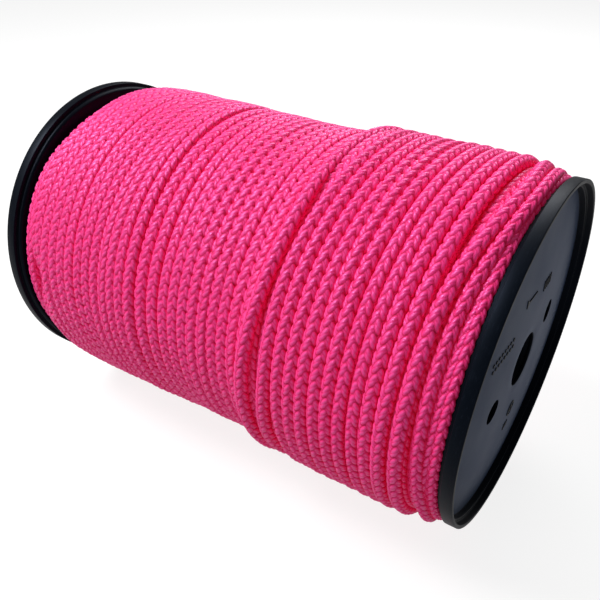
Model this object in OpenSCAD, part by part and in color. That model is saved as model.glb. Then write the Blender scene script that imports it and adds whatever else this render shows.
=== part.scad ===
// Plastic reel with two recessed flanges, wound with thick braided cord.
// The reel's axis runs along Y through the origin, which is the middle of the bore.

/* [Reel] */
// Diameter of both flanges
flange_d = 210; // [205:1:225]
// Length of the reel over both flanges
reel_l = 330; // [320:1:345]
// Diameter of the barrel that the cord is wound on
barrel_d = 150; // [140:1:154]
// Wall of the barrel
barrel_wall = 3; // [2.5:0.5:4]

/* [Flange] */
// Width of the rim's outer face, along the axis
rim_w = 7; // [6:0.5:8]
// Wall of the rim at its open edge
rim_wall = 2.4; // [1.8:0.2:2.8]
// Depth of the narrow ledge inside the rim, from the open edge
ledge_depth = 4; // [3:0.5:5]
// Width of that ledge
ledge_w = 2.1; // [1.8:0.1:2.6]
// Depth of the disc's outer edge, from the rim's open edge
edge_depth = 8; // [7.4:0.2:8.6]
// Depth of the disc's middle, which stands out a little like a shallow dome
hub_depth = 3.4; // [3:0.2:4.4]
// Thickness of the disc
disc_t = 2.2; // [2:0.2:3]
// Chamfer on the rim's outer edges
rim_chamfer = 0.6; // [0.4:0.1:0.8]

/* [Hub] */
// Diameter of the bore for the spindle
bore_d = 33; // [30:1:36]
// Diameter of the two drive holes
drive_hole_d = 15; // [12:1:18]
// Distance between the middles of the two drive holes
drive_span = 86; // [80:1:92]
// Turn of the drive holes about the axis, from +X towards +Z
drive_angle = -14; // [-90:1:90]
// Wall of the sleeve that guides the spindle
sleeve_wall = 2; // [1.6:0.2:2.4]
// Length of the collars that hold the sleeve and the barrel
collar_l = 12; // [8:1:16]

/* [Cord] */
// Diameter of the cord
cord_d = 8; // [8:0.1:8.2]
// Radius from the reel's axis to the cord's middle in the lower turns
lower_radius = 102.3; // [102:0.1:103]
// Radius from the reel's axis to the cord's middle in the top turns
top_radius = 107.3; // [107:0.1:108]
// Place along the axis where the top turns end and the lower turns show
step_y = 50.5; // [48:0.5:52]
// How far the first turns beside a flange sink below the others
end_dip = 6.5; // [5:0.5:7]

/* [Hidden] */
$fn = 120;

fit = 0.1;                 // clearance on radius where two mouldings slide together
cut = 1;                   // how far a cutting shape runs past a face

half_l = reel_l / 2;
flange_r = flange_d / 2;
barrel_r = barrel_d / 2;
bore_r = bore_d / 2;
ledge_r = flange_r - rim_wall;
disc_r = ledge_r - ledge_w;
shoulder_r = flange_r - 2.6;   // where the rim's back steps in to the disc's back
shoulder_step = 1.2;
collar_wall = 2.5;

// Depth of the disc at a radius, and how far from the middle its inner side lies there
function disc_depth(r) = hub_depth + (edge_depth - hub_depth) * pow(r / disc_r, 2);
function inner_side(r) = half_l - disc_depth(r) - disc_t;
disc_radii = [for (k = [0:8]) bore_r + (disc_r - bore_r) * k / 8];
inner_face = inner_side(shoulder_r);   // the disc's side towards the cord, at its edge
barrel_end = inner_side(barrel_r) - fit / 2;
sleeve_end = inner_side(bore_r + sleeve_wall) - fit / 2;

// Inner end of the cord, knotted inside the barrel behind a hole in its wall
start_hole_d = 9;
start_y = -136.4;
start_angle = 200;
knot_d = 17;
knot_depth = 13;           // from the barrel's outer face to the middle of the knot
tail_l = 14;               // what sticks out of the knot

// The turns that show
tube_r = 4.3;              // across the corners of the six-sided tube, halved
tube_half_w = tube_r * cos(30);
loop_rings = 20;
lower_loops = 24;
top_loops = 12;
flange_gap = 0.5;          // between the first turn and the flange
lower_first = -inner_face + flange_gap + tube_half_w;
lower_pitch = (step_y - tube_half_w - flange_gap - lower_first) / lower_loops;
top_first = inner_face - flange_gap - tube_half_w;
top_pitch = -(top_first - step_y - tube_half_w - flange_gap) / top_loops;
dip_reach = 9;             // over what length the dip fades

// The plain core under them
core_gap = 0.6;
core_sag = 1 - cos(180 / loop_rings);
core_lower_r = lower_radius * (1 - core_sag) - tube_r - core_gap;
core_top_r = top_radius * (1 - core_sag) - tube_r - core_gap;
core_dip_l = 22;
function core_end(r) = inner_side(r - end_dip) - fit;

// ---- Shared shapes ----

// Turns a shape built along Z so that it lies along the reel's axis, +Z to +Y.
module along_axis() {
    rotate([-90, 0, 0]) children();
}

// A round tube along Z, from z0 to z1.
module tube(outer_r, inner_r, z0, z1) {
    translate([0, 0, z0]) difference() {
        cylinder(r = outer_r, h = z1 - z0);
        translate([0, 0, -cut]) cylinder(r = inner_r, h = z1 - z0 + 2 * cut);
    }
}

// ---- Flanges ----

// Half section of a flange, from the axis outwards; top is its open edge.
function flange_section() = let (top = half_l) concat(
    [for (r = disc_radii) [r, top - disc_depth(r)]],
    [[disc_r, top - ledge_depth],
     [ledge_r, top - ledge_depth],
     [ledge_r, top],
     [flange_r - rim_chamfer, top],
     [flange_r, top - rim_chamfer],
     [flange_r, top - rim_w + rim_chamfer],
     [flange_r - rim_chamfer, top - rim_w],
     [shoulder_r, top - rim_w],
     [shoulder_r, inner_face + shoulder_step],
     [shoulder_r - shoulder_step, inner_face]],
    [for (k = [7:-1:0]) [disc_radii[k], inner_side(disc_radii[k])]]
);

// One flange at the +Z end: the recessed disc in its rim, two collars and the drive holes.
module flange() {
    difference() {
        union() {
            rotate_extrude() polygon(flange_section());
            tube(barrel_r - barrel_wall - fit, barrel_r - barrel_wall - fit - collar_wall,
                 barrel_end - collar_l, barrel_end + disc_t / 2);
            tube(bore_r + sleeve_wall + fit + collar_wall, bore_r + sleeve_wall + fit,
                 sleeve_end - collar_l, sleeve_end + disc_t / 2);
        }
        for (side = [-1, 1])
            rotate([0, 0, -drive_angle])
                translate([side * drive_span / 2, 0, inner_face])
                    cylinder(d = drive_hole_d, h = half_l - inner_face);
    }
}

module near_flange() {
    color([0.09, 0.10, 0.12]) along_axis() flange();
}

module far_flange() {
    color([0.09, 0.10, 0.12]) mirror([0, 1, 0]) along_axis() flange();
}

// ---- Barrel and sleeve ----

module barrel() {
    color([0.12, 0.12, 0.13]) difference() {
        along_axis() tube(barrel_r, barrel_r - barrel_wall, -barrel_end, barrel_end);
        translate([0, start_y, 0])
            rotate([0, 90 - start_angle, 0])
                cylinder(d = start_hole_d, h = barrel_r + cut);
    }
}

module spindle_sleeve() {
    color([0.15, 0.15, 0.16])
        along_axis() tube(bore_r + sleeve_wall, bore_r, -sleeve_end, sleeve_end);
}

// ---- Cord ----

// The inner end: through the barrel's wall, with a stopper knot and a short tail inside.
module cord_start() {
    color([1.0, 0.22, 0.50])
        translate([0, start_y, 0])
            rotate([0, 90 - start_angle, 0])
                translate([0, 0, barrel_r - knot_depth])
                    rotate_extrude() polygon(concat(
                        [[0, -tail_l], [cord_d / 2, -tail_l]],
                        [for (a = [-60:10:60]) [knot_d / 2 * cos(a), knot_d / 2 * sin(a)]],
                        [[cord_d / 2, knot_depth], [0, knot_depth]]));
}

// All the turns that are covered, as one ring that is thicker under the top turns.
module cord_inner_layers() {
    color([0.85, 0.12, 0.38])
        along_axis() rotate_extrude() polygon([
            [barrel_r, -barrel_end],
            [core_lower_r - end_dip, -core_end(core_lower_r)],
            [core_lower_r, -inner_face + core_dip_l],
            [core_lower_r, step_y],
            [core_top_r, step_y],
            [core_top_r, inner_face - core_dip_l],
            [core_top_r - end_dip, core_end(core_top_r)],
            [barrel_r, barrel_end]]);
}

// A coil is [first place along the axis, pitch, radius, loops, angle of the start].
function dip(y) = end_dip * exp(-(inner_face - abs(y) - tube_half_w) / dip_reach);
function coil_angle(coil, t) = coil[4] + 360 * t;
function coil_y(coil, t) = coil[0] + coil[1] * t;
function out_of(a) = [cos(a), 0, sin(a)];
function coil_point(coil, t) = let (a = coil_angle(coil, t), y = coil_y(coil, t))
    (coil[2] - dip(y)) * out_of(a) + [0, y, 0];

// Six corners round a point of the cord, one of them pointing away from the axis.
function ring_at(middle, a) =
    [for (j = [0:5]) middle + tube_r * (cos(60 * j) * out_of(a) + [0, sin(60 * j), 0])];
function coil_ring(coil, k) = let (t = k / loop_rings)
    ring_at(coil_point(coil, t), coil_angle(coil, t));

// The straight ends carry on along the turn for one diameter of the cord.
function end_ring(coil, t, way) = let (a = coil_angle(coil, t))
    ring_at(coil_point(coil, t) + way * cord_d * [-sin(a), 0, cos(a)], a);

function coil_rings(coil) = concat(
    [end_ring(coil, 0, -1)],
    [for (k = [0:coil[3] * loop_rings]) coil_ring(coil, k)],
    [end_ring(coil, coil[3], 1)]);

// Least distance between the corners of one loop and those of the next.
function least_gap(coil) = min([
    for (k = [0:(coil[3] - 1) * loop_rings])
        let (here = coil_ring(coil, k))
            for (step = [-1:1])
                let (next = coil_ring(coil, k + loop_rings + step))
                    for (p = here) for (q = next) norm(p - q)]);

module coil_tube(coil) {
    rings = coil_rings(coil);
    last = len(rings) - 1;
    polyhedron(
        points = [for (r = rings) each r],
        faces = concat(
            [for (j = [1:4]) [0, j, j + 1]],
            [for (k = [0:last - 1]) for (j = [0:5])
                let (a = 6 * k + j, b = 6 * k + (j + 1) % 6)
                    each [[a, a + 6, b], [b, a + 6, b + 6]]],
            [for (j = [1:4]) [6 * last, 6 * last + j + 1, 6 * last + j]]),
        convexity = 20);
}

lower_coil = [lower_first, lower_pitch, lower_radius, lower_loops, 60];
top_coil = [top_first, top_pitch, top_radius, top_loops, 250];
echo(str("least gap of the lower turns: ", least_gap(lower_coil), " mm"));
echo(str("least gap of the top turns: ", least_gap(top_coil), " mm"));

module cord_lower_turns() {
    color([1.0, 0.22, 0.50]) coil_tube(lower_coil);
}

module cord_top_turns() {
    color([1.0, 0.22, 0.50]) coil_tube(top_coil);
}

near_flange();
far_flange();
barrel();
spindle_sleeve();
cord_start();
cord_inner_layers();
cord_lower_turns();
cord_top_turns();
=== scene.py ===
# %% [markdown]
# # Moulded plastic reel, wound full of thick braided cord
# The imported CAD model is the frame: it gives every piece its place, in metres, with the reel's
# axis along Y. This lesson dresses it: satin black mouldings, and one long cord with a real
# braid. It starts by loading the frame.

# %% Load the frame
import math

import bmesh
import bpy
import numpy as np
from mathutils import Matrix, Vector


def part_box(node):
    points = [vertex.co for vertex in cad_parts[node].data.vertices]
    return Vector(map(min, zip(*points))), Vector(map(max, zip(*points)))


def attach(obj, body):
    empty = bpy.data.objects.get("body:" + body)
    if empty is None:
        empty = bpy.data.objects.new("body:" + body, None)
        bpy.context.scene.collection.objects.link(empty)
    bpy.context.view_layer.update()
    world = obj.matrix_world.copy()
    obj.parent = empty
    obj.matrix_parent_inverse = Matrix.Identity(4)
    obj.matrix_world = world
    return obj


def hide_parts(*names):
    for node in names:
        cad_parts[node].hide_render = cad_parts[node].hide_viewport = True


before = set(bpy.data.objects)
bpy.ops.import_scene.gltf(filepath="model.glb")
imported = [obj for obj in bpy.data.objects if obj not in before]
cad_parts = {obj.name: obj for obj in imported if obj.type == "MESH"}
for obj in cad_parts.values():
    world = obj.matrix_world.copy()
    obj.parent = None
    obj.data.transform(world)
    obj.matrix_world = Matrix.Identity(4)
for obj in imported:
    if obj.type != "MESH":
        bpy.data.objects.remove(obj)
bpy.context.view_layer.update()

MM = 0.001
print("frame's nodes:", ", ".join(sorted(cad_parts)))

# %% [markdown]
# ## Sizes
# These repeat the CAD's own values, in millimetres, so that each new piece fits the frame. The
# disc inside a flange isn't flat: it stands out a little in the middle, like a shallow dome,
# which keeps a thin moulding stiff.

# %% Sizes of the reel
HALF_LENGTH = 165.0
FLANGE_R = 105.0
RIM_WIDTH = 7.0
LEDGE_R = 102.6
LEDGE_DEPTH = 4.0
DISC_R = 100.5
EDGE_DEPTH = 8.0
HUB_DEPTH = 3.4
DISC_THICKNESS = 2.2
SHOULDER_R = 102.4
SHOULDER_STEP = 1.2
BORE_R = 16.5
SLEEVE_WALL = 2.0
BARREL_R = 75.0
BARREL_WALL = 3.0
COLLAR_WALL = 2.5
COLLAR_LENGTH = 12.0
DRIVE_HOLE_R = 7.5
DRIVE_HOLE_AT = 43.0
DRIVE_HOLE_TURN = -14.0
CORD_R = 4.0


def disc_depth(radius):
    """How deep the disc lies below the rim's open edge, at a radius."""
    return HUB_DEPTH + (EDGE_DEPTH - HUB_DEPTH) * (radius / DISC_R) ** 2


print("disc is", disc_depth(BORE_R), "mm deep at the bore and", disc_depth(DISC_R), "at its edge")

# %% [markdown]
# ## Camera
# It stands above the near flange, to its right, and looks down at the reel by 37 degrees. The
# view is given as three directions, which fill the columns of the camera's matrix.

# %% Camera
right = Vector((-0.55092, 0.83456, 0.0))
up = Vector((-0.50463, -0.33312, 0.79648))
turn = Matrix((right, up, right.cross(up))).transposed()
camera = bpy.data.objects.new("camera", bpy.data.cameras.new("camera"))
bpy.context.scene.collection.objects.link(camera)
camera.matrix_world = Matrix.Translation((0.32163, 0.22286, 0.23563)) @ turn.to_4x4()
camera.data.lens = 39.355
camera.data.sensor_width = 36.0
camera.data.shift_x = -0.0119
camera.data.shift_y = 0.0845
camera.data.clip_start = 0.01
bpy.context.scene.camera = camera
bpy.context.scene.view_settings.view_transform = "Standard"
print("camera looks along", [round(x, 3) for x in -right.cross(up)])

# %% [markdown]
# ## Three helpers for materials
# Colours are written as sRGB hex values, as in a paint program, but the shaders count in linear
# light, so one function turns the one into the other. The second helper adds a node: its settings
# are named, and each input gets either a value or the output that feeds it. The third one clears
# a new material of the nodes that it comes with.


# %% Colour and node helpers
def colour(code):
    """A hex colour such as #FF4A8F, as linear red, green, blue and alpha."""
    parts = [int(code[k:k + 2], 16) / 255 for k in (1, 3, 5)]
    return (*[p / 12.92 if p <= 0.04045 else ((p + 0.055) / 1.055) ** 2.4 for p in parts], 1.0)


def add(tree, kind, inputs=None, **settings):
    """Adds a node; each input, by name or number, gets a value or the output that feeds it."""
    made = tree.nodes.new("ShaderNode" + kind)
    for name, value in settings.items():
        setattr(made, name, value)
    for key, value in (inputs or {}).items():
        if isinstance(value, bpy.types.NodeSocket):
            tree.links.new(value, made.inputs[key])
        else:
            made.inputs[key].default_value = value
    return made


def new_material(name):
    """An empty material: its node tree and its output node."""
    made = bpy.data.materials.new(name)
    made.use_nodes = True
    made.node_tree.nodes.clear()
    return made, made.node_tree, add(made.node_tree, "OutputMaterial")


print("cord's pink in linear light:", [round(x, 3) for x in colour("#FF4A8F")])

# %% [markdown]
# ## Floor
# The reel lies on matt white paper, a grid of one face just under its lowest turns. The paper
# treats the rays in two ways. Light that goes on to the reel leaves a pale diffuse sheet, so the
# reel's underside is lit softly. The camera and reflections see a sheet that also glows by
# itself, which makes it nearly white, and it still keeps the reel's shadow.

# %% Floor
FLOOR_HEIGHT = -0.1118
floor_bm = bmesh.new()
bmesh.ops.create_grid(floor_bm, x_segments=1, y_segments=1, size=6.0)
bmesh.ops.translate(floor_bm, verts=floor_bm.verts, vec=(0, 0, FLOOR_HEIGHT))
floor_mesh = bpy.data.meshes.new("floor")
floor_bm.to_mesh(floor_mesh)
floor_bm.free()
floor = bpy.data.objects.new("floor", floor_mesh)
bpy.context.scene.collection.objects.link(floor)

paper, tree, out = new_material("matt_white_paper")
ray = add(tree, "LightPath")
paper_shader = add(tree, "BsdfDiffuse", {"Color": colour("#C4C4C4")})
level = add(tree, "Math", {0: ray.outputs["Is Camera Ray"], 1: 0.44, 2: 0.40},
            operation="MULTIPLY_ADD")
glow = add(tree, "Emission", {"Color": colour("#FFFFFF"), "Strength": level.outputs[0]})
faint = add(tree, "BsdfDiffuse", {"Color": colour("#888888")})
lit = add(tree, "AddShader", {0: faint.outputs[0], 1: glow.outputs[0]})
seen = add(tree, "Math", {0: ray.outputs["Is Camera Ray"], 1: ray.outputs["Is Glossy Ray"]},
           operation="MAXIMUM")
shown = add(tree, "MixShader", {0: seen.outputs[0], 1: paper_shader.outputs[0],
                                2: lit.outputs[0]})
tree.links.new(shown.outputs[0], out.inputs["Surface"])
floor.data.materials.append(paper)
print("floor lies at", round(floor.data.vertices[0].co.z, 4), "m")

# %% [markdown]
# ## World and lamps
# A white world and three square lamps make the plain studio. Together they add up to a level of
# about 1 on a surface that faces up, so a colour renders about as it is written. The key lamp is
# large and hangs above the far flange, so the side of each stitch that faces it is the lighter
# one. The back lamp lights the top of the reel, and the near side falls gently into shade.

# %% World and lamps
world = bpy.data.worlds.new("studio")
bpy.context.scene.world = world
world.use_nodes = True
tree = world.node_tree
tree.nodes.clear()
ray = add(tree, "LightPath")
seen = add(tree, "Math", {0: ray.outputs["Is Camera Ray"], 1: ray.outputs["Is Transmission Ray"]},
           operation="MAXIMUM")
strength = add(tree, "MapRange", {"Value": seen.outputs[0], "To Min": 0.15, "To Max": 1.0})
sky = add(tree, "Background", {"Color": colour("#FFFFFF"), "Strength": strength.outputs[0]})
tree.links.new(sky.outputs[0], add(tree, "OutputWorld").inputs["Surface"])


def lamp(name, place, level, size):
    """A square lamp that faces the reel's middle; level is what it adds to a surface facing it."""
    made = bpy.data.objects.new(name, bpy.data.lights.new(name, "AREA"))
    bpy.context.scene.collection.objects.link(made)
    made.location = place
    made.rotation_euler = (-Vector(place)).to_track_quat("-Z", "Y").to_euler()
    made.data.energy = level * (math.pi * Vector(place).length) ** 2
    made.data.size = size
    print(name, "adds", level, "with", round(made.data.energy, 1), "W")


lamp("key_lamp", (0.45, -0.72, 1.1), 0.90, 0.5)
lamp("back_lamp", (-1.0, -0.30, 1.0), 0.58, 0.9)
lamp("fill_lamp", (1.2, -0.75, 0.6), 0.10, 0.6)

# %% [markdown]
# ## Satin black polypropylene
# The reel is injection-moulded plastic, coloured black right through. A steel mould with a fine
# spark-eroded grain leaves a satin skin, so the plastic shows soft, broad reflections and turns
# grey where one looks along it. Handling leaves faint scuffs, most of them on the rims, and dust
# settles on it. The real grain is about 0.1 mm, too fine to show, so it is drawn at 0.5 mm.


# %% Plastic for the mouldings
def satin_plastic(name, base, roughness, level, dust):
    """Moulded plastic in one body colour, with its gloss level and how much dust lies on it."""
    made, tree, out = new_material(name)
    place = add(tree, "TexCoord").outputs["Object"]
    grain = add(tree, "TexNoise", {"Vector": place, "Scale": 1 / (0.5 * MM), "Detail": 3.0})
    flow = add(tree, "TexNoise", {"Vector": place, "Scale": 1 / (45 * MM), "Detail": 4.0})
    stretch = add(tree, "Mapping", {"Vector": place, "Scale": (1.0, 6.0, 1.0)})
    scratch = add(tree, "TexNoise", {"Vector": stretch.outputs[0], "Scale": 1 / (3.5 * MM),
                                     "Detail": 6.0, "Roughness": 0.7})
    part = add(tree, "SeparateXYZ", {0: place})
    flat = add(tree, "CombineXYZ", {0: part.outputs[0], 1: part.outputs[2]})
    radius = add(tree, "VectorMath", {0: flat.outputs[0]}, operation="LENGTH")
    on_rim = add(tree, "MapRange", {"Value": radius.outputs["Value"],
                                    "From Min": (FLANGE_R - 1.5) * MM, "From Max": FLANGE_R * MM},
                 interpolation_type="SMOOTHSTEP")
    worn = add(tree, "MapRange", {"Value": scratch.outputs[0], "From Min": 0.56, "From Max": 0.68})
    wear = add(tree, "Math", {0: on_rim.outputs[0], 1: worn.outputs[0]}, operation="MULTIPLY")
    wear = add(tree, "Math", {0: wear.outputs[0], 1: 0.25}, operation="MULTIPLY")
    body = add(tree, "Mix", {0: flow.outputs[0], 6: colour(base), 7: colour("#070C14")},
               data_type="RGBA")
    skin = add(tree, "Mix", {0: wear.outputs[0], 6: body.outputs[2], 7: colour("#2A3240")},
               data_type="RGBA")
    gloss = add(tree, "MapRange", {"Value": flow.outputs[0], "From Min": 0.3, "From Max": 0.7,
                                   "To Min": roughness - 0.05, "To Max": roughness + 0.06})
    bump = add(tree, "Bump", {"Height": grain.outputs[0], "Strength": 0.25,
                              "Distance": 0.00012})
    shader = add(tree, "BsdfPrincipled", {"Base Color": skin.outputs[2],
                                          "Roughness": gloss.outputs[0], "IOR": 1.49,
                                          "Specular IOR Level": level,
                                          "Specular Tint": colour("#B4C8EE"),
                                          "Sheen Weight": dust, "Sheen Roughness": 0.45,
                                          "Sheen Tint": colour("#8FA8DC"),
                                          "Normal": bump.outputs[0]})
    tree.links.new(shader.outputs[0], out.inputs["Surface"])
    return made


flange_plastic = satin_plastic("moulded_black_polypropylene", "#03060C", 0.42, 0.12, 0.0)
disc_plastic = satin_plastic("moulded_black_polypropylene_fine_grain", "#0E141E", 0.48, 0.18, 0.50)
barrel_plastic = satin_plastic("moulded_black_tube_plastic", "#0C0F15", 0.45, 0.28, 0.0)
print("plastics:", flange_plastic.name, disc_plastic.name, barrel_plastic.name)

# %% [markdown]
# ## Pieces spun from a section
# A flange is a body of revolution, like work from a lathe, so its closed half section is drawn
# once, its corners are rounded, and it is spun a full turn round the reel's axis. Real mouldings
# have no sharp edges: the small radius is what catches the light along the rim.


# %% Spin a section round the axis
FLAT = 1e-9


def finish_mesh(name, bm, material, smooth=True):
    """Turns a bmesh into an object at the origin, with its material."""
    mesh = bpy.data.meshes.new(name)
    bm.to_mesh(mesh)
    bm.free()
    mesh.polygons.foreach_set("use_smooth", [smooth] * len(mesh.polygons))
    mesh.materials.append(material)
    made = bpy.data.objects.new(name, mesh)
    bpy.context.scene.collection.objects.link(made)
    return made


def spin_section(bm, section, rounding, steps):
    """Adds a ring to bm: a closed section of (radius, place along the axis) in mm, spun round."""
    corners = [bm.verts.new((radius * MM, along * MM, 0)) for radius, along in section]
    bm.faces.new(corners)
    if rounding:
        bmesh.ops.bevel(bm, geom=corners, offset=rounding * MM, offset_type="OFFSET", segments=3,
                        profile=0.5, affect="VERTICES", material=-1, clamp_overlap=True)
    face = [f for f in bm.faces if all(abs(v.co.z) < FLAT for v in f.verts)][-1]
    edges = list(face.edges)
    verts = list(face.verts)
    bmesh.ops.delete(bm, geom=[face], context="FACES_ONLY")
    bmesh.ops.spin(bm, geom=verts + edges, cent=(0, 0, 0), axis=(0, 1, 0), angle=math.tau,
                   steps=steps, use_merge=True, use_duplicate=False)


def flange_section():
    """The flange's half section in mm, with the open edge of its rim at HALF_LENGTH."""
    top = HALF_LENGTH
    radii = np.linspace(BORE_R, DISC_R, 13)
    outside = [(r, top - disc_depth(r)) for r in radii]
    inside = [(r, top - disc_depth(r) - DISC_THICKNESS) for r in radii[-2::-1]]
    inner_face = top - disc_depth(SHOULDER_R) - DISC_THICKNESS
    rim = [(DISC_R, top - LEDGE_DEPTH), (LEDGE_R, top - LEDGE_DEPTH), (LEDGE_R, top),
           (FLANGE_R, top), (FLANGE_R, top - RIM_WIDTH), (SHOULDER_R, top - RIM_WIDTH),
           (SHOULDER_R, inner_face + SHOULDER_STEP), (SHOULDER_R - SHOULDER_STEP, inner_face)]
    return outside + rim + inside


print("flange's section has", len(flange_section()), "corners before rounding")

# %% [markdown]
# ## Drive holes
# A winding machine turns the reel by two pins, which reach through two holes in each disc. The
# holes are cut with a Boolean modifier, by pins whose wider ends leave a fine chamfer round each
# hole. The cutter is removed once the cut is applied.


# %% Cut the drive holes
def cut_drive_holes(flange):
    """Cuts the two drive holes, with a fine chamfer at the disc's outer side."""
    bm = bmesh.new()
    surface = HALF_LENGTH - disc_depth(DRIVE_HOLE_AT)
    for side in (-1, 1):
        pin = bmesh.ops.create_cone(bm, cap_ends=True, segments=64, radius1=DRIVE_HOLE_R * MM,
                                    radius2=DRIVE_HOLE_R * MM, depth=8 * MM)["verts"]
        flare = bmesh.ops.create_cone(bm, cap_ends=True, segments=64,
                                      radius1=(DRIVE_HOLE_R - 1.0) * MM,
                                      radius2=(DRIVE_HOLE_R + 1.4) * MM, depth=2.4 * MM)["verts"]
        bmesh.ops.translate(bm, verts=flare, vec=(0, 0, 0.7 * MM))
        bmesh.ops.rotate(bm, verts=pin + flare, cent=(0, 0, 0),
                         matrix=Matrix.Rotation(-math.pi / 2, 3, "X"))
        turn = math.radians(DRIVE_HOLE_TURN)
        at = Vector((side * DRIVE_HOLE_AT * math.cos(turn), surface,
                     side * DRIVE_HOLE_AT * math.sin(turn))) * MM
        bmesh.ops.translate(bm, verts=pin + flare, vec=at)
    cutter = finish_mesh("hole_cutter", bm, flange_plastic)
    cut = flange.modifiers.new("drive_holes", "BOOLEAN")
    cut.operation = "DIFFERENCE"
    cut.solver = "EXACT"
    cut.use_self = True
    cut.object = cutter
    seen_now = flange.evaluated_get(bpy.context.evaluated_depsgraph_get())
    holed = bpy.data.meshes.new_from_object(seen_now)
    flange.modifiers.clear()
    flange.data = holed
    bpy.data.objects.remove(cutter)


print("drive holes lie", DRIVE_HOLE_AT, "mm from the axis")

# %% [markdown]
# ## Flanges
# Each flange is the spun section, with two short collars inside that hold the barrel and the
# spindle's sleeve. EDGE_ROUNDING is the small radius that a mould leaves on an edge, and FIT is
# the play between two tubes that slide together. The outer side of the disc has a finer grain
# than the rim, so it gets its own plastic.


# %% Build a flange
EDGE_ROUNDING = 0.45
FIT = 0.1


def build_flange(name):
    """One flange at the +Y end, in the shape of the CAD's."""
    bm = bmesh.new()
    spin_section(bm, flange_section(), EDGE_ROUNDING, 240)
    for radius, wall in ((BARREL_R - BARREL_WALL - FIT, -COLLAR_WALL),
                         (BORE_R + SLEEVE_WALL + FIT, COLLAR_WALL)):
        inner_side = HALF_LENGTH - disc_depth(radius) - DISC_THICKNESS
        low, high = inner_side - COLLAR_LENGTH, inner_side + 1
        ring = [(radius, high), (radius + wall, high), (radius + wall, low), (radius, low)]
        spin_section(bm, ring, 0.4, 96)
    bmesh.ops.recalc_face_normals(bm, faces=bm.faces)
    made = finish_mesh(name, bm, flange_plastic)
    cut_drive_holes(made)
    return made


def shade_by_angle(obj, degrees):
    """Smooth shading, with sharp edges where two faces meet at more than this angle."""
    obj.data.polygons.foreach_set("use_smooth", [True] * len(obj.data.polygons))
    obj.data.set_sharp_from_angle(angle=math.radians(degrees))


def grain_on_disc(flange):
    """Gives the disc's outer side the plastic with the fine grain."""
    flange.data.materials.append(disc_plastic)
    for face in flange.data.polygons:
        middle = face.center / MM
        out_here = HALF_LENGTH - disc_depth(math.hypot(middle.x, middle.z))
        on_disc = abs(abs(middle.y) - out_here) < 0.3 and face.normal.y * middle.y > 0
        face.material_index = int(on_disc)


print("collars are", COLLAR_LENGTH, "mm long")

# %% [markdown]
# The far flange is the same moulding, so it is built the same way and mirrored by a negative
# scale. That turns its faces inside out, so they are made to point outwards again.

# %% Two flanges
near = build_flange("near_flange_dressed")
far = build_flange("far_flange_dressed")
far_bm = bmesh.new()
far_bm.from_mesh(far.data)
bmesh.ops.scale(far_bm, verts=far_bm.verts, vec=(1, -1, 1))
bmesh.ops.recalc_face_normals(far_bm, faces=far_bm.faces)
far_bm.to_mesh(far.data)
far_bm.free()
for piece, node_name in ((near, "near_flange"), (far, "far_flange")):
    shade_by_angle(piece, 32)
    grain_on_disc(piece)
    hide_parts(node_name)
    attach(piece, "root")
    print(piece.name, "has", len(piece.data.polygons), "faces")

# %% [markdown]
# ## Moulded marks
# A mould maker leaves a few raised marks on a disc. These are plain ones that say nothing: an
# arrow, a group of bars, two rows of dots, two rings and three short bars. They are made as flat
# tiles first, and then every point is laid on the disc's dome, so that they stand a little proud.


# %% One mark
MARK_PROUD = 0.45
MARK_SUNK = 0.4
TILE_RADIUS = {3: 0.6, 4: math.sqrt(0.5), 12: 0.5}


def turn_tile(bm, verts, angle, axis):
    """Turns some vertices about the middle, by an angle in degrees."""
    bmesh.ops.rotate(bm, verts=verts, cent=(0, 0, 0),
                     matrix=Matrix.Rotation(math.radians(angle), 3, axis))


def tile(bm, x, z, wide, high, turned=0.0, corners=4):
    """A flat tile that faces +Y: a bar, or a dot or a triangle by its number of corners."""
    size = TILE_RADIUS[corners]
    verts = bmesh.ops.create_cone(bm, cap_ends=True, segments=corners, radius1=size, radius2=size,
                                  depth=1.0)["verts"]
    if corners == 4:
        turn_tile(bm, verts, 45, "Z")
    turn_tile(bm, verts, -90, "X")
    bmesh.ops.scale(bm, verts=verts, vec=(wide, 1.0, high))
    turn_tile(bm, verts, turned, "Y")
    bmesh.ops.translate(bm, verts=verts, vec=(x, 0, z))


print("marks stand", MARK_PROUD, "mm proud of the disc")

# %% [markdown]
# The marks sit round the bore, in places of their own. Each group is one loop over its bars or
# dots, in millimetres from the axis. Once all lie on the dome, their edges get a fine bevel.

# %% Marks on the near disc
marks_bm = bmesh.new()
for step in range(5):
    tile(marks_bm, 3.0 + 2.6 * step, 47.0, 2.8, 0.9)
tile(marks_bm, 16.6, 47.0, 5.0, 4.2, turned=90, corners=3)
for step in range(5):
    tile(marks_bm, -24.5 + 2.9 * step, 43.0, 0.9, 6.5)
for row in (0, 4.2):
    for step in range(8):
        tile(marks_bm, 57.0 - 3.7 * step, 27.4 + row + 0.17 * step, 2.2, 2.2, corners=12)
for radius, count in ((4.8, 16), (2.0, 8)):
    for step in range(count):
        around = math.tau * step / count
        tile(marks_bm, -1.2 + radius * math.cos(around), -39.5 + radius * math.sin(around), 2.0,
             1.0, turned=90 - math.degrees(around))
for step in range(3):
    tile(marks_bm, -1.5 + 2.4 * step, -52.3, 1.2, 5.0)
for vert in marks_bm.verts:
    dome = HALF_LENGTH - disc_depth(math.hypot(vert.co.x, vert.co.z))
    vert.co.y = dome + (MARK_PROUD if vert.co.y > 0 else -MARK_SUNK)
bmesh.ops.scale(marks_bm, verts=marks_bm.verts, vec=(MM, MM, MM))
sharp = [edge for edge in marks_bm.edges if abs(edge.calc_face_angle(0)) > 0.7]
bmesh.ops.bevel(marks_bm, geom=sharp, offset=0.08 * MM, offset_type="OFFSET", segments=1,
                profile=0.5, affect="EDGES", material=-1, clamp_overlap=True)
bmesh.ops.recalc_face_normals(marks_bm, faces=marks_bm.faces)
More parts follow.
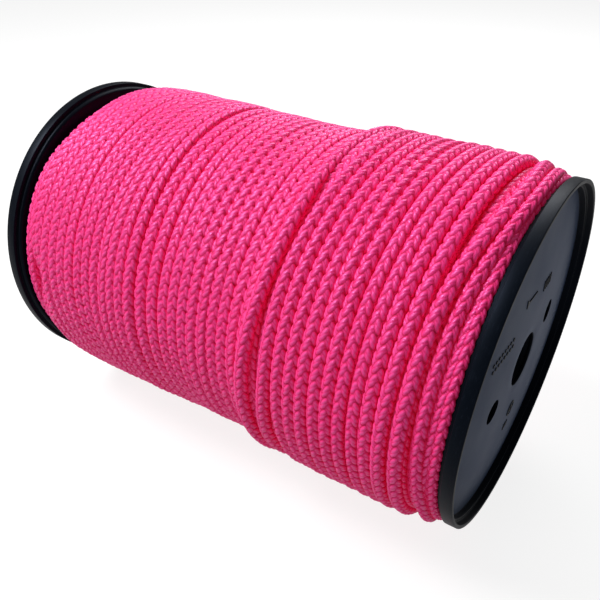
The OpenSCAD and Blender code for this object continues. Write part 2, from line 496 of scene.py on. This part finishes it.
marks = finish_mesh("moulded_marks", marks_bm, flange_plastic, smooth=False)
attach(marks, "root")
print("moulded marks have", len(marks.data.polygons), "faces")

# %% [markdown]
# ## Barrel and sleeve
# Both tubes are extruded, with plain walls. The CAD has them right, and they show only through the
# bore and the drive holes. So the CAD's nodes stay, and only get their plastic.

# %% Plastic on the CAD's tubes
for node_name in ("barrel", "spindle_sleeve"):
    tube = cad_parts[node_name]
    tube.data.materials.clear()
    tube.data.materials.append(barrel_plastic)
    print(node_name, "keeps its", len(tube.data.polygons), "faces")

# %% [markdown]
# ## The braid
# The cord is a plait of doubled yarns. They run over and under each other in six columns round
# the cord, three leaning one way and three the other, so that each pair of columns reads as a
# row of arrowheads. The braid's surface is a height map over two coordinates: u counts the
# columns round the cord, and v counts the stitches along it, each STITCH millimetres long. A
# float, the part of a yarn that lies on top, is a plump oval in these coordinates: it leans by
# LEAN stitches for each column across, and ends HALF_LONG columns and HALF_WIDE stitches from
# its middle. PHASE is how many stitches the one leaning family lies behind the other: less than a
# half, so that two floats press on each other at one side and leave a pit at the other side. A
# float is a pair of yarns, so a furrow of depth SPLIT and half width SPLIT_WIDE runs down its
# middle. The higher of the two leaning families is what shows, and where both are equally high
# runs the crease at which one yarn dives under the other.

# %% Height of the braid's surface
COLUMNS = 6
STITCH = 7.15
LEAN = 0.46
PHASE = 0.45
HALF_LONG = 0.84
HALF_WIDE = 0.49
PLUMP = 0.55
CREASE = 0.36
SOFTEN = 0.03
SPLIT = 0.34
SPLIT_WIDE = 0.075


def wrap(value, half):
    """Brings a number into the range from -half to half."""
    return (value + half) % (2 * half) - half


def float_height(lean, over, column, stitch):
    """Height, from 0 to 1, of one family of floats; lean is 1 or -1 and over its first column."""
    across = wrap(column - over, 1.0)
    along = wrap(stitch - LEAN * lean * across - PHASE * (1 - lean) / 2, 0.5)
    wide = np.clip(1 - (along / HALF_WIDE) ** 2, 0, 1)
    long = np.clip(1 - (across / HALF_LONG) ** 2, 0, 1)
    split = 1 - SPLIT * np.exp(-(along / SPLIT_WIDE) ** 2)
    return (wide * long) ** PLUMP * split


def braid_height(column, stitch):
    """Height of the braid, from 0 in its deepest gaps to 1 on its floats."""
    first = float_height(1, 0.5, column, stitch)
    second = float_height(-1, 1.5, column, stitch)
    top = np.maximum(first, second)
    return top - CREASE * (np.minimum(first, second) / (top + SOFTEN)) ** 3


sample = braid_height(*np.meshgrid(np.linspace(0, COLUMNS, 61), np.linspace(0, 1, 41)))
print("braid's height: least", round(sample.min(), 2), "mean", round(sample.mean(), 2))

# %% [markdown]
# ## Braided polypropylene cord
# The yarns are bright pink polypropylene filaments. The material gives them a faint red emission,
# a painted glow that keeps the pink strong. It also paints the crests of the floats pale, a painted
# highlight, and colours the gaps between the yarns deep red, a painted shade for the light that
# bounces from pink to pink in there. The material repeats the height map from the cord's own UV
# map, where u counts columns and v counts stitches. The nodes follow the formula above, line by
# line.


# %% The height map in nodes
def float_nodes(tree, column, stitch, lean, over):
    """One family of floats in nodes: its height, the place across the yarn, the yarn's number."""
    shift = add(tree, "Math", {0: column, 1: over}, operation="SUBTRACT").outputs[0]
    across = add(tree, "Math", {0: shift, 1: 1.0, 2: -1.0}, operation="WRAP").outputs[0]
    along = add(tree, "Math", {0: across, 1: -LEAN * lean, 2: stitch},
                operation="MULTIPLY_ADD").outputs[0]
    along = add(tree, "Math", {0: along, 1: PHASE * (1 - lean) / 2},
                operation="SUBTRACT").outputs[0]
    place = add(tree, "Math", {0: along, 1: 0.5, 2: -0.5}, operation="WRAP").outputs[0]
    number = add(tree, "Math", {0: along}, operation="ROUND").outputs[0]
    row = add(tree, "Math", {0: shift, 1: across}, operation="SUBTRACT").outputs[0]
    yarn = add(tree, "Math", {0: place, 1: 0.0}, operation="GREATER_THAN").outputs[0]
    yarn = add(tree, "Math", {0: yarn, 1: 0.5, 2: over}, operation="MULTIPLY_ADD").outputs[0]
    name = add(tree, "CombineXYZ", {0: number, 1: row, 2: yarn}).outputs[0]
    square = add(tree, "Math", {0: place, 1: place}, operation="MULTIPLY").outputs[0]
    wide = add(tree, "Math", {0: square, 1: -1 / HALF_WIDE ** 2, 2: 1.0},
               operation="MULTIPLY_ADD").outputs[0]
    wide = add(tree, "Math", {0: wide, 1: 0.0}, operation="MAXIMUM").outputs[0]
    long = add(tree, "Math", {0: across, 1: across}, operation="MULTIPLY").outputs[0]
    long = add(tree, "Math", {0: long, 1: -1 / HALF_LONG ** 2, 2: 1.0},
               operation="MULTIPLY_ADD").outputs[0]
    long = add(tree, "Math", {0: long, 1: 0.0}, operation="MAXIMUM").outputs[0]
    split = add(tree, "Math", {0: square, 1: -1 / SPLIT_WIDE ** 2}, operation="MULTIPLY")
    split = add(tree, "Math", {0: split.outputs[0]}, operation="EXPONENT").outputs[0]
    split = add(tree, "Math", {0: split, 1: -SPLIT, 2: 1.0}, operation="MULTIPLY_ADD").outputs[0]
    both = add(tree, "Math", {0: wide, 1: long}, operation="MULTIPLY").outputs[0]
    whole = add(tree, "Math", {0: both, 1: PLUMP}, operation="POWER").outputs[0]
    height = add(tree, "Math", {0: whole, 1: split}, operation="MULTIPLY").outputs[0]
    return height, place, name


def braid_nodes(tree, column, stitch):
    """Both families in nodes: the braid's height, the place across the yarn, the yarn's number."""
    h1, p1, n1 = float_nodes(tree, column, stitch, 1, 0.5)
    h2, p2, n2 = float_nodes(tree, column, stitch, -1, 1.5)
    top = add(tree, "Math", {0: h1, 1: h2}, operation="MAXIMUM").outputs[0]
    low = add(tree, "Math", {0: h1, 1: h2}, operation="MINIMUM").outputs[0]
    above = add(tree, "Math", {0: top, 1: SOFTEN}, operation="ADD").outputs[0]
    share = add(tree, "Math", {0: low, 1: above}, operation="DIVIDE").outputs[0]
    crease = add(tree, "Math", {0: share, 1: 3.0}, operation="POWER").outputs[0]
    height = add(tree, "Math", {0: crease, 1: -CREASE, 2: top}, operation="MULTIPLY_ADD").outputs[0]
    second = add(tree, "Math", {0: h2, 1: h1}, operation="GREATER_THAN").outputs[0]
    place = add(tree, "Mix", {0: second, 2: p1, 3: p2}, data_type="FLOAT").outputs[0]
    name = add(tree, "Mix", {0: second, 4: n1, 5: n2}, data_type="VECTOR").outputs[1]
    return height, place, name


print("a float is at most", 2 * HALF_WIDE * STITCH, "mm long")

# %% [markdown]
# With the height known, each float gets its own tone, a painted pale highlight along its crest,
# painted dark shade where it dives under, and the fine lines of its filaments. Real filaments are
# some hundredths of a millimetre thick, too fine to show, so a float gets nine lines. The fuzz of
# broken filaments is drawn at 0.35 mm, and over some 60 mm the pink drifts a little at random.

# %% Colours of the braid
def braid_colours(tree, column, height, chance, where):
    """The cord's colour: painted red shade in the gaps, painted pale crests, a tone for each yarn.
    """
    # Painted shade: the gaps and creases between the floats are coloured deep red, most of all on
    # the cord's flanks, where the turns press together.
    turn = add(tree, "Math", {0: column, 1: math.tau / COLUMNS, 2: -math.tau / COLUMNS},
               operation="MULTIPLY_ADD").outputs[0]
    side = add(tree, "Math", {0: turn}, operation="SINE").outputs[0]
    side = add(tree, "Math", {0: side}, operation="ABSOLUTE").outputs[0]
    groove_shade = add(tree, "MapRange", {"Value": side, "From Min": 0.2, "From Max": 0.85,
                                    "To Min": 0.65, "To Max": 1.0})
    pit_shade = add(tree, "MapRange", {"Value": height, "From Min": 0.66, "From Max": 0.30})
    painted_shade = add(tree, "Math", {0: pit_shade.outputs[0], 1: groove_shade.outputs[0]}, operation="MULTIPLY")
    shaded_pink = add(tree, "Mix", {0: painted_shade.outputs[0], 6: colour("#FF2880"), 7: colour("#BE0026")},
              data_type="RGBA")
    # Painted highlight: the floats' crests are coloured pale pink, on top of a random tone for each
    # yarn.
    crest_highlight = add(tree, "MapRange", {"Value": height, "From Min": 0.66, "From Max": 0.97,
                                   "To Min": 0.0, "To Max": 0.42})
    tone_and_highlight = add(tree, "Math", {0: chance, 1: 0.16, 2: crest_highlight.outputs[0]}, operation="MULTIPLY_ADD")
    shaded_and_highlighted = add(tree, "Mix", {0: tone_and_highlight.outputs[0], 6: shaded_pink.outputs[2], 7: colour("#FF66B8")},
                data_type="RGBA")
    drift = add(tree, "TexNoise", {"Vector": where, "Scale": 1 / (60 * MM), "Detail": 3.0})
    worn = add(tree, "MapRange", {"Value": drift.outputs[0], "From Min": 0.4, "From Max": 0.75,
                                  "To Min": 0.0, "To Max": 0.30})
    final = add(tree, "Mix", {0: worn.outputs[0], 6: shaded_and_highlighted.outputs[2], 7: colour("#F8207C")},
                data_type="RGBA")
    return final.outputs[2]


print("the braid's pink is", [round(x, 3) for x in colour("#FF2880")], "in linear light")

# %% [markdown]
# The material puts it together. Its bump only adds what the mesh can't hold, the lines of the
# filaments and the fuzz, and sharpens the floats' edges. Yarns are matt where they dive under
# and satin on their crests, where they have rubbed against each other.

# %% Material of the braid
LINES = 9


def braided_cord_material():
    """Bright pink braided polypropylene."""
    made, tree, out = new_material("braided_pink_polypropylene")
    uv = add(tree, "UVMap", uv_map="UVMap")
    part = add(tree, "SeparateXYZ", {0: uv.outputs[0]})
    column, stitch = part.outputs[0], part.outputs[1]
    where = add(tree, "TexCoord").outputs["Object"]
    height, place, name = braid_nodes(tree, column, stitch)
    chance = add(tree, "TexWhiteNoise", {0: name}, noise_dimensions="3D").outputs["Value"]
    base = braid_colours(tree, column, height, chance, where)
    line = add(tree, "Math", {0: place, 1: LINES * math.tau}, operation="MULTIPLY").outputs[0]
    line = add(tree, "Math", {0: line}, operation="SINE").outputs[0]
    fuzz = add(tree, "TexNoise", {"Vector": where, "Scale": 1 / (0.35 * MM), "Detail": 2.0})
    low_relief = add(tree, "Math", {0: height, 1: 0.9}, operation="MULTIPLY")
    fine = add(tree, "Math", {0: line, 1: 0.06, 2: low_relief.outputs[0]},
               operation="MULTIPLY_ADD")
    fine = add(tree, "Math", {0: fuzz.outputs[0], 1: 0.16, 2: fine.outputs[0]},
               operation="MULTIPLY_ADD")
    bump = add(tree, "Bump", {"Height": fine.outputs[0], "Strength": 0.5, "Distance": 0.0008})
    matt = add(tree, "MapRange", {"Value": height, "From Min": 0.45, "From Max": 0.8,
                                  "To Min": 0.9, "To Max": 0.31})
    rough = add(tree, "Math", {0: chance, 1: 0.10, 2: matt.outputs[0]}, operation="MULTIPLY_ADD")
    # Painted glow: the emission gives the yarns a faint red glow of their own, lit by no lamp,
    # which keeps the pink and the shade between the yarns red.
    shader = add(tree, "BsdfPrincipled", {"Base Color": base,
                                          "Roughness": rough.outputs[0], "IOR": 1.55,
                                          "Specular IOR Level": 1.0,
                                          "Specular Tint": colour("#D6B0FF"),
                                          "Emission Color": colour("#FF0030"),
                                          "Emission Strength": 0.075,
                                          "Normal": bump.outputs[0]})
    tree.links.new(shader.outputs[0], out.inputs["Surface"])
    return made


braid_skin = braided_cord_material()
print("the braid's material has", len(braid_skin.node_tree.nodes), "nodes")

# %% [markdown]
# ## How the cord lies
# One cord is wound to and fro. Its last visible layers are made here as a single path. T counts
# the turns along it, and at a whole number the path passes the side that faces the camera, at 36
# degrees from +X towards +Z. Hand-wound turns aren't even, so the spacing comes in runs: a number
# of turns that lie the same distance apart. The path first goes from the far flange to the near
# one as the lower layer, then climbs, and comes back as the top layer, which stops short.

# %% Turns of the two layers
FRONT = 36.0
FAR_START = -148.0
LOWER_RUNS = [(1, 7.0), (1, 7.4), (5, 7.8), (6, 7.25), (1, 9.3), (1, 9.7), (1, 8.6), (3, 7.4),
              (5, 7.35), (2, 7.0), (12, 7.85), (1, 9.4)]
TOP_START = 149.4
TOP_RUNS = [(1, 5.6), (2, 9.3), (9, 7.86), (1, 9.6)]


def places(start, runs, way):
    """Where the turns of a layer lie along the axis, in mm."""
    steps = [way * step for count, step in runs for _ in range(count)]
    return start + np.concatenate([[0], np.cumsum(steps)])


lower_places = places(FAR_START, LOWER_RUNS, 1)
top_places = places(TOP_START, TOP_RUNS, -1)
turn_places = np.concatenate([lower_places, top_places])
TURN_OFF = len(lower_places)
LAST_TURN = len(turn_places) - 1
print(len(lower_places), "turns in the lower layer, the last at", round(lower_places[-1], 1))
print(len(top_places), "turns in the top layer, the last at", round(top_places[-1], 1))

# %% [markdown]
# The layers have their own heights: the lower one sags a little towards its right, and the turns
# beside a flange sink, because nothing holds them up from below there. The lower layer's height
# is given at a few places along the axis, and the top layer's for its first turns.

# %% Heights of the turns
HEIGHT_ALONG = [-150, -141, -134, -121, -58, -20, 60]
HEIGHT_LOWER = [95.6, 99.4, 102.0, 103.3, 102.9, 101.5, 101.2]
HEIGHT_TOP = 106.9
FIRST_TOP_HEIGHTS = (100.6, 103.0, 106.4)


def turn_radii():
    """The distance of each turn's middle from the axis, in mm."""
    lower = np.interp(lower_places, HEIGHT_ALONG, HEIGHT_LOWER)
    top = np.full(len(top_places), HEIGHT_TOP)
    top[:len(FIRST_TOP_HEIGHTS)] = FIRST_TOP_HEIGHTS
    return np.concatenate([lower, top])


turn_heights = turn_radii()
print("turns' radii run from", turn_heights.min(), "to", turn_heights.max(), "mm")

# %% [markdown]
# Then each turn is pushed about a little by its neighbours. A push takes in some turns, from the
# first to the last of them, and has an angle round the reel and a reach to both sides, in degrees.
# It moves the cord along the axis and outwards, in millimetres. Its edge is soft, like a bell, or
# steeper with a higher power.

# %% Pushes
# (first turn, last turn, angle, reach, power, along, out)
PUSHES = [
    (TURN_OFF + 3, LAST_TURN - 5, 95, 42, 2, 4.6, 0.0),     # the top turns lean to the right
    (LAST_TURN - 4, LAST_TURN - 1, 95, 42, 2, 5.6, 0.0),
    (TURN_OFF, TURN_OFF + 2, 95, 42, 2, 3.6, 0.0),
    (TURN_OFF + 2, TURN_OFF + 2, 82, 25, 2, 7.0, 0.4),      # the last but one slides to the rim
    (TURN_OFF + 1, TURN_OFF + 1, 82, 26, 2, 5.0, 2.4),
    (TURN_OFF + 1, TURN_OFF + 1, -34, 27, 2, 6.0, 1.2),
    (LAST_TURN, LAST_TURN, -36, 62, 4, -7.8, 0.0),          # the last turn crosses to the left
    (LAST_TURN, LAST_TURN, 118, 32, 2, 3.0, 0.0),
    (LAST_TURN - 1, LAST_TURN - 1, -50, 45, 4, -6.5, -1.0),
    (26, 26, 102, 36, 4, 2.4, 4.6),                         # a lower turn comes up beside it
    (1, 2, 3, 11, 2, 0.0, -5.6),                            # a turn has dropped into a hole
    (0, 0, 112, 50, 4, 0.6, -8.5),                          # the first turn dives
    (1, 1, 108, 44, 4, 3.4, -1.2),
    (2, 11, 86, 36, 2, 1.1, 0.0),
    (14, 14, 40, 60, 2, 0.3, -0.8),
]


def pushed(count):
    """How far the cord is moved along the axis and outwards at each turn count, in mm."""
    angle = FRONT - 360 * count
    nearest = np.rint(count)
    along = np.zeros_like(count)
    out = np.zeros_like(count)
    for first, last, at, reach, power, dy, dr in PUSHES:
        far_off = np.abs(wrap(angle - at, 180.0)) / reach
        share = np.exp(-far_off ** power) * ((nearest >= first) & (nearest <= last))
        along += dy * share
        out += dr * share
    return along, out


print(len(PUSHES), "pushes")

# %% [markdown]
# Now the path itself. Its place and height are known where each turn passes the front, and they
# change smoothly from turn to turn between. The pushes come on top, and then a slow wandering, the
# unsteadiness of the hand that wound it, which is a few seeded sines. The lower turns also swing
# to and fro by SLANT once a turn, because they aren't wound quite square to the axis. The cord is
# as wide as its neighbours leave room for, but never more than its own width, and it stays
# between the flanges.


# %% Path of the cord
NARROWEST = 3.45
FAR_LIMIT = -152.8
NEAR_LIMIT = 153.4
SLANT = 3.0


def slow_waves(count, seed, sizes):
    """A smooth, seeded wandering: sines of a few lengths in turns, added together."""
    chance = np.random.default_rng(seed)
    total = np.zeros_like(count)
    for per_turn, size in sizes:
        total += size * np.sin(math.tau * (per_turn * count + chance.random()))
    return total


def blended(before, values, after, count):
    """Blends a value that each turn has, with one before and one after, to any turn counts."""
    wide = np.linspace(-0.35, 0.35, 29)
    weight = np.cos(math.pi * wide / 0.7) ** 2
    known = np.concatenate([[before], values, [after]])
    spread = np.interp(count[:, None] + 1 + wide, np.arange(len(known)), known)
    return (spread * weight).sum(1) / weight.sum()


def cord_path(count):
    """Angle, place along the axis, distance from it and half width of the cord, at turn counts."""
    y = blended(turn_places[0] - 7.0, turn_places, turn_places[-1] - 8.0, count)
    r = blended(turn_heights[0], turn_heights, turn_heights[-1], count)
    gaps = np.abs(np.diff(turn_places))
    room = np.minimum(np.append(gaps, 9), np.insert(gaps, 0, 9))
    width = np.interp(count, np.arange(LAST_TURN + 1), np.clip(room / 2 + 0.08, NARROWEST, CORD_R))
    along, out = pushed(count)
    y = y + along + slow_waves(count, 3, [(1.31, 0.18), (2.7, 0.14), (5.9, 0.09), (0.37, 0.15)])
    r = r + out + slow_waves(count, 8, [(0.83, 0.18), (3.3, 0.12), (7.1, 0.08)])
    y = y + SLANT * np.sin(np.radians(-360 * count)) * (count < TURN_OFF - 1.5)
    y = np.clip(y, FAR_LIMIT, NEAR_LIMIT)
    return np.radians(FRONT - 360 * count), y, r, width


probe = np.arange(0, LAST_TURN + 1.0)
print("places at the front:", np.round(cord_path(probe)[1], 1).tolist())

# %% [markdown]
# ## Strands of cord
# Each strand is a flat grid, rolled up round the path: one direction of the grid runs along the
# cord and the other round it, with more faces on the outer side than on the hidden one. The
# braid's height moves the surface out, so the floats are real relief and their shadows are real
# too. The seam is then merged and the ends are closed. A strand is 5 turns or fewer, which keeps
# each piece under 200,000 triangles.

# %% Helpers for a rolled-up grid
ROUND = 22
MEAN_HEIGHT = 0.85


def grid_mesh(name, along, around):
    """A plain grid as a mesh, with each vertex's two shares from 0 to 1."""
    bm = bmesh.new()
    bmesh.ops.create_grid(bm, x_segments=along, y_segments=around, size=0.5)
    mesh = bpy.data.meshes.new(name)
    bm.to_mesh(mesh)
    bm.free()
    flat = np.zeros(3 * len(mesh.vertices))
    mesh.vertices.foreach_get("co", flat)
    return mesh, flat[0::3] + 0.5, flat[1::3] + 0.5


def close_seam(mesh):
    """Merges the long seam and closes the two ends."""
    bm = bmesh.new()
    bm.from_mesh(mesh)
    rim = [v for v in bm.verts if v.is_boundary]
    bmesh.ops.remove_doubles(bm, verts=rim, dist=1e-6)
    bmesh.ops.holes_fill(bm, edges=[e for e in bm.edges if e.is_boundary], sides=0)
    bmesh.ops.recalc_face_normals(bm, faces=bm.faces)
    bm.to_mesh(mesh)
    bm.free()


def cord_piece(name, mesh, spots, column, stitch):
    """Moves a grid's vertices to their spots, keeps the braid's UV map, and makes it a piece."""
    mesh.vertices.foreach_set("co", (spots * MM).ravel())
    corner = np.zeros(len(mesh.loops), int)
    mesh.loops.foreach_get("vertex_index", corner)
    layer = mesh.uv_layers.new(name="UVMap")
    layer.data.foreach_set("uv", np.stack([column, stitch], 1)[corner].ravel())
    close_seam(mesh)
    mesh.polygons.foreach_set("use_smooth", [True] * len(mesh.polygons))
    mesh.materials.append(braid_skin)
    made = bpy.data.objects.new(name, mesh)
    bpy.context.scene.collection.objects.link(made)
    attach(made, "root")
    return made


print("a strand has", ROUND, "faces round it")

# %% [markdown]
# The cord's section isn't round: it is pressed between its neighbours, so it is an oval that a
# power makes squarer, and the braid's relief stands on that. The braid also twists a little to and
# fro along the cord, round a mean at which its row of arrowheads lies to one side.


# %% Roll up a strand
RELIEF = 1.5
CORD_HEIGHT_R = 4.05
MEAN_TURN_R = 104
SPINE_TURN = 27
STITCH_START = 0.6


def stitches_along(count):
    """How many stitches lie between the start of the path and each turn count."""
    fine = np.linspace(0, LAST_TURN + 1.5, 40 * (LAST_TURN + 2))
    radius = cord_path(fine - STITCH_START)[2]
    length = np.concatenate([[0], np.cumsum(np.diff(fine) * math.tau * radius[1:])])
    return -np.interp(count + STITCH_START, fine, length) / STITCH


def braided_strand(name, first, last, per_stitch, pressed, wider):
    """The cord from one turn count to another, with its braid, as a piece of the reel."""
    rings = int(abs(last - first) * math.tau * MEAN_TURN_R / STITCH * per_stitch)
    mesh, along, around = grid_mesh(name, rings, ROUND)
    count = first + (last - first) * np.linspace(0, 1, rings + 1)
    at = np.rint(along * rings).astype(int)
    angle, y, r, width = (values[at] for values in cord_path(count))
    stitch = stitches_along(count)[at]
    q = 2 * around - 1
    side = math.pi * (0.75 * q + 0.25 * q ** 3)
    twist = slow_waves(count, 21, [(0.9, 10.0), (2.3, 8.0), (0.21, 9.0)])[at]
    column = COLUMNS / 2 * side / math.pi + 1 + (twist - SPINE_TURN) / (360 / COLUMNS)
    lift = RELIEF * (braid_height(column, stitch) - MEAN_HEIGHT)
    square = (np.abs(np.cos(side)) ** pressed + np.abs(np.sin(side)) ** pressed) ** (-1 / pressed)
    out = (CORD_HEIGHT_R * square + lift) * np.cos(side)
    sideways = ((width + wider) * square + lift) * np.sin(side)
    spots = np.stack([(r + out) * np.cos(angle), y + sideways, (r + out) * np.sin(angle)], 1)
    made = cord_piece(name, mesh, spots, column, stitch)
    print(name, "runs from turn", first, "to", last, "with", len(mesh.polygons), "faces")
    return made


way_along = -stitches_along(np.array([LAST_TURN + 0.5]))[0] * STITCH
print("the path of both layers is", round(way_along * MM, 1), "m long")

# %% [markdown]
# The strands follow each other along the path. The turns that show get nine rings a stitch, and
# those under the top layer only three. The lower turns are squarer and a little wider than the
# top ones, because they are pressed between their neighbours.

# %% Strands of both layers
LOWER_STRANDS = [(-0.5, 4.5), (4.5, 9.5), (9.5, 14.5), (14.5, 19.5), (19.5, 24.5), (24.5, 27.5)]
TOP_STRANDS = [(TURN_OFF - 0.5, TURN_OFF + 4.5), (TURN_OFF + 4.5, TURN_OFF + 9.5),
               (TURN_OFF + 9.5, LAST_TURN + 0.5)]
for number, (first, last) in enumerate(LOWER_STRANDS, 1):
    strand = braided_strand(f"lower_turns_{number}", first, last, 9, 3.0, 0.45)
    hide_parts("cord_lower_turns")
for number, (first, last) in enumerate(TOP_STRANDS, 1):
    strand = braided_strand(f"top_turns_{number}", first, last, 9, 2.2, 0.1)
    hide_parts("cord_top_turns")
covered = braided_strand("covered_turns", 27.5, TURN_OFF - 3.5, 3, 2.6, 0.0)
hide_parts("cord_inner_layers")
beside = braided_strand("turns_at_near_flange", TURN_OFF - 3.5, TURN_OFF - 0.5, 9, 2.2, 0.1)
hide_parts("cord_inner_layers")

# %% [markdown]
# ## Covered layers
# Below the turns that show lie three more layers. Only slits of them can be seen, between two
# turns that lie apart, so they are one spun ring whose surface follows the turns' rounded tops.

# %% Spin the covered layers
COVERED_END = 149
COVERED_TURNS = 38
layer_bm = bmesh.new()
tops = np.linspace(-COVERED_END, COVERED_END, COVERED_TURNS * 6 + 1)
swell = 2.6 * np.abs(np.cos(math.pi * (tops + COVERED_END) / (2 * COVERED_END / COVERED_TURNS)))
base = np.interp(tops, [-COVERED_END, -141, -130, 130, COVERED_END],
                 [86.0, 91.0, 95.0, 95.0, 92.0])
hill = list(zip(base + swell, tops))
foot = [(BARREL_R + FIT, -COVERED_END)]
spin_section(layer_bm, foot + hill + [(BARREL_R + FIT, COVERED_END)], 0, 160)
bmesh.ops.recalc_face_normals(layer_bm, faces=layer_bm.faces)
layers = finish_mesh("covered_layers", layer_bm, braid_skin)
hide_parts("cord_inner_layers")
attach(layers, "root")
print("covered layers have", len(layers.data.polygons), "faces")

# %% [markdown]
# ## Start of the cord
# The cord's inner end goes through a hole in the barrel, and a stopper knot inside keeps it from
# being pulled out: the cord is laid round itself about twice and its tail sticks out. First its
# path, in millimetres: how far from the reel's axis it has come, and how it swings aside in the
# knot.

# %% Path of the cord's inner end
START_ANGLE = math.radians(200)
start_low, start_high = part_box("cord_start")
start_y = (start_low.y + start_high.y) / 2 / MM
share = np.linspace(0, 1, 260)
depth = np.interp(share, [0, 0.14, 0.86, 1], [79, 68.5, 55.0, 48.2])
swing = 3.9 * np.sin(math.pi * np.clip((share - 0.12) / 0.76, 0, 1)) ** 0.5
round_knot = 2.1 * math.tau * np.clip((share - 0.10) / 0.80, 0, 1)
aside = swing * np.cos(round_knot)
middle = np.stack([depth * math.cos(START_ANGLE) - aside * math.sin(START_ANGLE),
                   start_y + swing * np.sin(round_knot),
                   depth * math.sin(START_ANGLE) + aside * math.cos(START_ANGLE)], 1)
steps = np.linalg.norm(np.diff(middle, axis=0), axis=1)
print("the inner end is", round(steps.sum(), 1), "mm long and lies round y", round(start_y, 1))

# %% [markdown]
# The same kind of grid is rolled up round this path. A frame of two directions across the cord is
# carried along it unturned, so the braid doesn't twist, and the cord is a little thinner where
# the knot squeezes it.

# %% Cord's inner end
KNOT_RELIEF = 1.0
ahead = np.gradient(middle, axis=0)
ahead /= np.linalg.norm(ahead, axis=1)[:, None]
across = np.zeros_like(ahead)
across[0] = (0, 1, 0)
for k in range(1, len(ahead)):
    level = across[k - 1] - ahead[k] * np.dot(across[k - 1], ahead[k])
    across[k] = level / np.linalg.norm(level)
third = np.cross(ahead, across)
end_mesh, along, around = grid_mesh("cord_inner_end", len(ahead) - 1, ROUND)
at = np.rint(along * (len(ahead) - 1)).astype(int)
column = COLUMNS * around
stitch = np.concatenate([[0], np.cumsum(steps)])[at] / STITCH
thick = np.interp(share, [0, 0.1, 0.3, 0.7, 0.9, 1], [CORD_R, CORD_R, 3.6, 3.6, CORD_R, CORD_R])
thick = (thick[at] + KNOT_RELIEF * (braid_height(column, stitch) - MEAN_HEIGHT))[:, None]
side = (math.tau * around)[:, None]
spots = middle[at] + thick * (np.cos(side) * across[at] + np.sin(side) * third[at])
inner_end = cord_piece("cord_inner_end", end_mesh, spots, column, stitch)
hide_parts("cord_start")
print("cord's inner end has", len(end_mesh.polygons), "faces")
